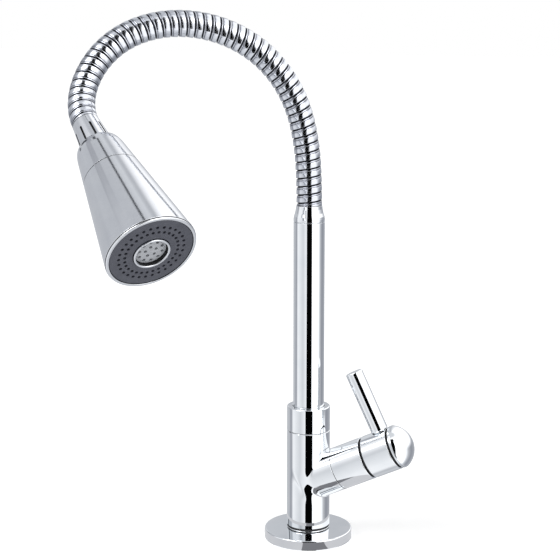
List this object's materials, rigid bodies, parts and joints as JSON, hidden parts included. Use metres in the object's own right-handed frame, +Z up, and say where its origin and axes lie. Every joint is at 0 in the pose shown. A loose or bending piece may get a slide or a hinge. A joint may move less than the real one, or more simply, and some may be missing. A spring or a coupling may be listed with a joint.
{
  "type": "flexible kitchen faucet",
  "caption": "Single-lever kitchen deck tap with a flexible stripwound hose spout on a riser, a turning conical spray head and a side valve barrel with a rod lever",
  "frame": {"origin": "Centre of the deck hole, in the plane of the deck face that the flange rests on.", "axes": "+Z points up along the riser, +X is the side that the valve barrel leans out to, and -Y is the front."},
  "size_m": [0.1911, 0.2114, 0.3948],
  "materials": {
    "chromed_brass": "bright mirror chrome plate",
    "chromed_strip": "bright chromed steel strip, wound in overlapping turns",
    "satin_chromed_plastic": "pearly satin chrome on plastic",
    "dark_plastic": "dark blue-grey, fine matt",
    "light_plastic": "light grey, matt",
    "white_plastic": "natural white moulding",
    "black_rubber": "black, matt",
    "raw_brass": "machined, unplated",
    "plain_steel": "plain machined steel",
    "white_ceramic": "lapped and polished",
    "liner_tube": "milky water tube"
  },
  "bodies": {
    "base": {"deck_flange": "chromed_brass", "flange_seal": "black_rubber", "body_foot_ring": "black_rubber", "threaded_shank": "raw_brass", "under_deck_gasket": "black_rubber", "under_deck_washer": "plain_steel", "shank_nut": "raw_brass", "tap_body": "chromed_brass", "swivel_collar": "chromed_brass", "swivel_slip_ring": "white_plastic", "cartridge_housing": "chromed_brass", "cartridge_port_seal": "black_rubber", "fixed_ceramic_disc": "white_ceramic", "cartridge_body": "white_plastic", "barrel_gap_ring": "black_rubber"},
    "lever": {"moving_ceramic_disc": "white_ceramic", "valve_spindle": "raw_brass", "lever_hub": "chromed_brass", "hub_screw": "plain_steel", "hub_cap_ring": "black_rubber", "hub_cap": "chromed_brass", "lever_rod": "chromed_brass"},
    "spout": {"riser_hub": "raw_brass", "riser_o_ring_1": "black_rubber", "riser_o_ring_2": "black_rubber", "riser_tube": "chromed_brass", "hose_ferrule": "chromed_brass", "lower_hose_tail": "raw_brass", "hose_link_01": "chromed_strip", "hose_liner_01": "liner_tube"},
    "hose_2": {"hose_link_02": "chromed_strip", "hose_liner_02": "liner_tube"},
    "hose_3": {"hose_link_03": "chromed_strip", "hose_liner_03": "liner_tube"},
    "hose_4": {"hose_link_04": "chromed_strip", "hose_liner_04": "liner_tube"},
    "hose_5": {"hose_link_05": "chromed_strip", "hose_liner_05": "liner_tube"},
    "hose_6": {"hose_link_06": "chromed_strip", "hose_liner_06": "liner_tube"},
    "hose_7": {"hose_link_07": "chromed_strip", "hose_liner_07": "liner_tube"},
    "hose_8": {"hose_link_08": "chromed_strip", "hose_liner_08": "liner_tube"},
    "hose_9": {"hose_link_09": "chromed_strip", "hose_liner_09": "liner_tube"},
    "hose_10": {"hose_link_10": "chromed_strip", "hose_liner_10": "liner_tube", "head_collar": "satin_chromed_plastic", "upper_hose_tail": "raw_brass", "head_swivel_seal": "black_rubber", "head_swivel_clip": "plain_steel"},
    "head": {"head_neck": "satin_chromed_plastic", "head_shell": "satin_chromed_plastic", "head_waterway": "white_plastic"},
    "selector": {"head_bezel": "satin_chromed_plastic", "spray_face": "dark_plastic", "jet_diverter": "white_plastic", "aerator_ring": "satin_chromed_plastic", "aerator_insert": "light_plastic"}
  },
  "joints": [
    {"name": "lever_turn", "type": "hinge", "parent": "base", "child": "lever", "pos_m": [0, 0, 0.0385], "axis": [0.9026, 0, 0.4305], "range_deg": [0, 90]},
    {"name": "spout_swivel", "type": "hinge", "parent": "base", "child": "spout", "pos_m": [0, 0, 0.0806], "axis": [0, 0, 1], "continuous": true},
    {"name": "hose_bend_1", "type": "hinge", "parent": "spout", "child": "hose_2", "pos_m": [-0.00076, -0.00033, 0.24688], "axis": [0.7162, -0.6975, 0.0237], "range_deg": [-9, 6]},
    {"name": "hose_bend_2", "type": "hinge", "parent": "hose_2", "child": "hose_3", "pos_m": [-0.00432, -0.00215, 0.27294], "axis": [0.6723, 0.7043, 0.2281], "range_deg": [-8, 8]},
    {"name": "hose_bend_3", "type": "hinge", "parent": "hose_3", "child": "hose_4", "pos_m": [-0.01316, -0.00709, 0.29721], "axis": [0.6831, -0.7157, 0.1457], "range_deg": [-9, 6]},
    {"name": "hose_bend_4", "type": "hinge", "parent": "hose_4", "child": "hose_5", "pos_m": [-0.02817, -0.01589, 0.31688], "axis": [0.3793, 0.5354, 0.7547], "range_deg": [-8, 8]},
    {"name": "hose_bend_5", "type": "hinge", "parent": "hose_5", "child": "hose_6", "pos_m": [-0.04777, -0.02789, 0.32964], "axis": [0.5857, -0.774, 0.2405], "range_deg": [-9, 6]},
    {"name": "hose_bend_6", "type": "hinge", "parent": "hose_6", "child": "hose_7", "pos_m": [-0.06938, -0.04206, 0.33442], "axis": [-0.1204, 0.2181, 0.9685], "range_deg": [-8, 8]},
    {"name": "hose_bend_7", "type": "hinge", "parent": "hose_7", "child": "hose_8", "pos_m": [-0.09016, -0.05761, 0.33045], "axis": [0.547, -0.7999, 0.2469], "range_deg": [-9, 6]},
    {"name": "hose_bend_8", "type": "hinge", "parent": "hose_8", "child": "hose_9", "pos_m": [-0.10605, -0.07363, 0.31717], "axis": [-0.6728, -0.2645, 0.691], "range_deg": [-8, 8]},
    {"name": "hose_bend_9", "type": "hinge", "parent": "hose_9", "child": "hose_10", "pos_m": [-0.11219, -0.08926, 0.29713], "axis": [0.6343, -0.6376, 0.4371], "range_deg": [-9, 6]},
    {"name": "head_swivel", "type": "hinge", "parent": "hose_10", "child": "head", "pos_m": [-0.10388, -0.10428, 0.27772], "axis": [0.6104, -0.5265, -0.5918], "continuous": true},
    {"name": "jet_select", "type": "hinge", "parent": "head", "child": "selector", "pos_m": [-0.10388, -0.10428, 0.27772], "axis": [0.6104, -0.5265, -0.5918], "range_deg": [0, 60]}
  ]
}
